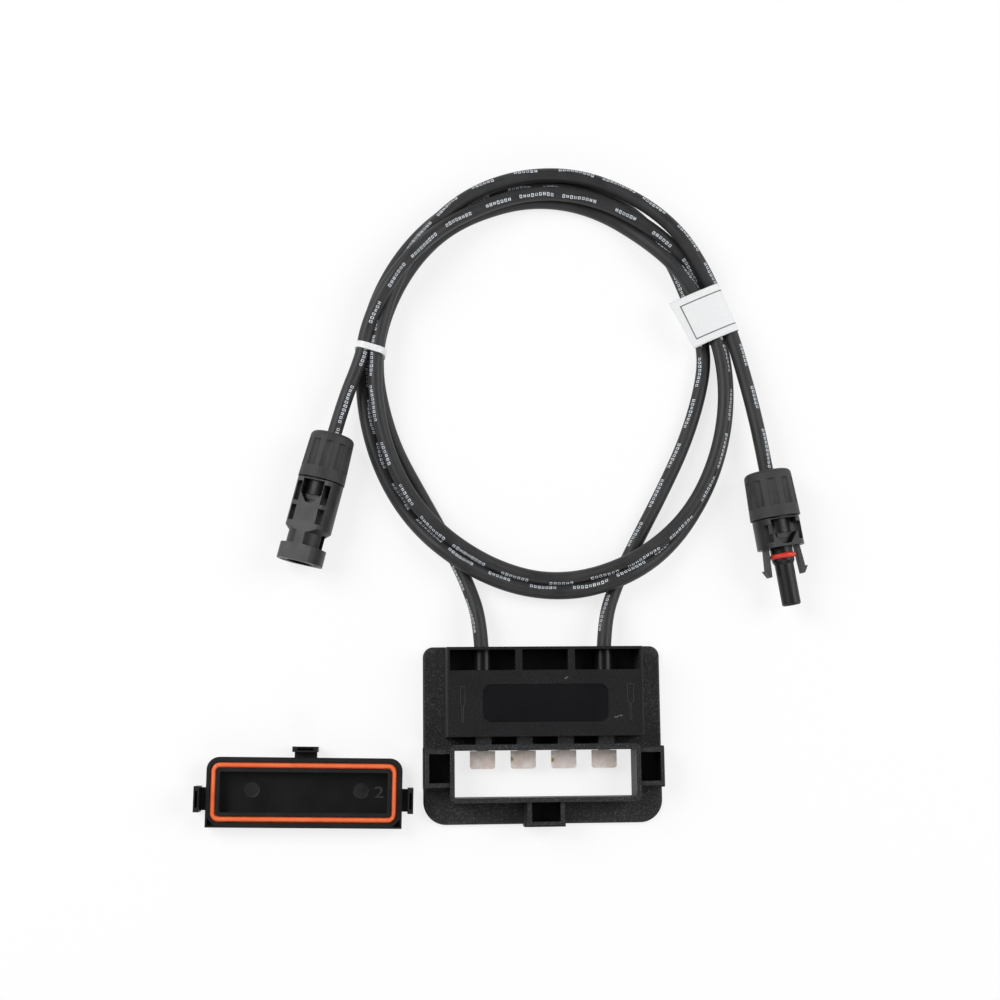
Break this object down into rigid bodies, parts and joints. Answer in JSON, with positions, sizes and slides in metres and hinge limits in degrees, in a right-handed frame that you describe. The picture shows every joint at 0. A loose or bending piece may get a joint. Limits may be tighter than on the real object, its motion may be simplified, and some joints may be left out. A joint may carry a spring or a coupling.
{
  "type": "pv junction box",
  "caption": "Black solar-panel junction box with an open ribbon window, its sealed lid beside it, and two coiled leads ending in a socket and a plug connector.",
  "frame": {"origin": "middle of the box's flat mounting face", "axes": "+X along the row of terminals towards the plug lead's side, +Y from the lid window towards the cable exits, +Z out of the mounting face"},
  "size_m": [0.2567, 0.2826, 0.0214],
  "materials": {
    "box_plastic": "fine-textured black PPO",
    "connector_plastic": "smooth black PPO",
    "tinned_copper": "tinned copper, mottled",
    "copper": "bare stranded copper",
    "diode_epoxy": "moulded epoxy",
    "potting_silicone": "cured silicone",
    "orange_silicone": "orange silicone",
    "red_silicone": "red silicone",
    "cable_sheath": "satin cross-linked sheath",
    "seal_rubber": "soft black rubber",
    "white_nylon": "white nylon",
    "white_paper": "white coated paper"
  },
  "bodies": {
    "box": {"box_base": "box_plastic", "terminal_1": "tinned_copper", "terminal_2": "tinned_copper", "terminal_3": "tinned_copper", "terminal_4": "tinned_copper", "potting_compound": "potting_silicone", "bypass_diode_1": "diode_epoxy", "bypass_diode_2": "diode_epoxy", "bypass_diode_3": "diode_epoxy", "left_cable_core": "copper", "right_cable_core": "copper", "left_crimp": "tinned_copper", "right_crimp": "tinned_copper", "lid": "box_plastic", "lid_gasket": "orange_silicone", "left_lead": "cable_sheath", "right_lead": "cable_sheath", "left_tail": "cable_sheath", "right_tail": "cable_sheath", "cable_coil": "cable_sheath", "cable_tie": "white_nylon", "cable_label": "white_paper", "left_connector_body": "connector_plastic", "left_cable_seal": "seal_rubber", "pin_contact": "tinned_copper", "right_connector_body": "connector_plastic", "right_cable_seal": "seal_rubber", "socket_contact": "tinned_copper", "plug_o_ring": "red_silicone"},
    "left_cage": {"left_clamp_cage": "connector_plastic"},
    "left_nut": {"left_gland_nut": "connector_plastic"},
    "right_cage": {"right_clamp_cage": "connector_plastic"},
    "right_nut": {"right_gland_nut": "connector_plastic"}
  },
  "joints": [
    {"name": "left_cage_slide", "type": "slide", "parent": "box", "child": "left_cage", "axis": [0.2504, 0.9681, 0], "range_m": [0, 0.0046]},
    {"name": "left_nut_turn", "type": "hinge", "parent": "left_cage", "child": "left_nut", "pos_m": [-0.08994, 0.11606, 0.00995], "axis": [0.2504, 0.9681, 0], "range_deg": [0, 1080]},
    {"name": "right_cage_slide", "type": "slide", "parent": "box", "child": "right_cage", "axis": [-0.153, 0.9882, 0], "range_m": [0, 0.0046]},
    {"name": "right_nut_turn", "type": "hinge", "parent": "right_cage", "child": "right_nut", "pos_m": [0.09849, 0.10057, 0.0107], "axis": [-0.153, 0.9882, 0], "range_deg": [0, 1080]}
  ],
  "couplings": [
    {"joint": "left_cage_slide", "follows": "left_nut_turn", "m_per_rad": 0.00023873},
    {"joint": "right_cage_slide", "follows": "right_nut_turn", "m_per_rad": 0.00023873}
  ]
}
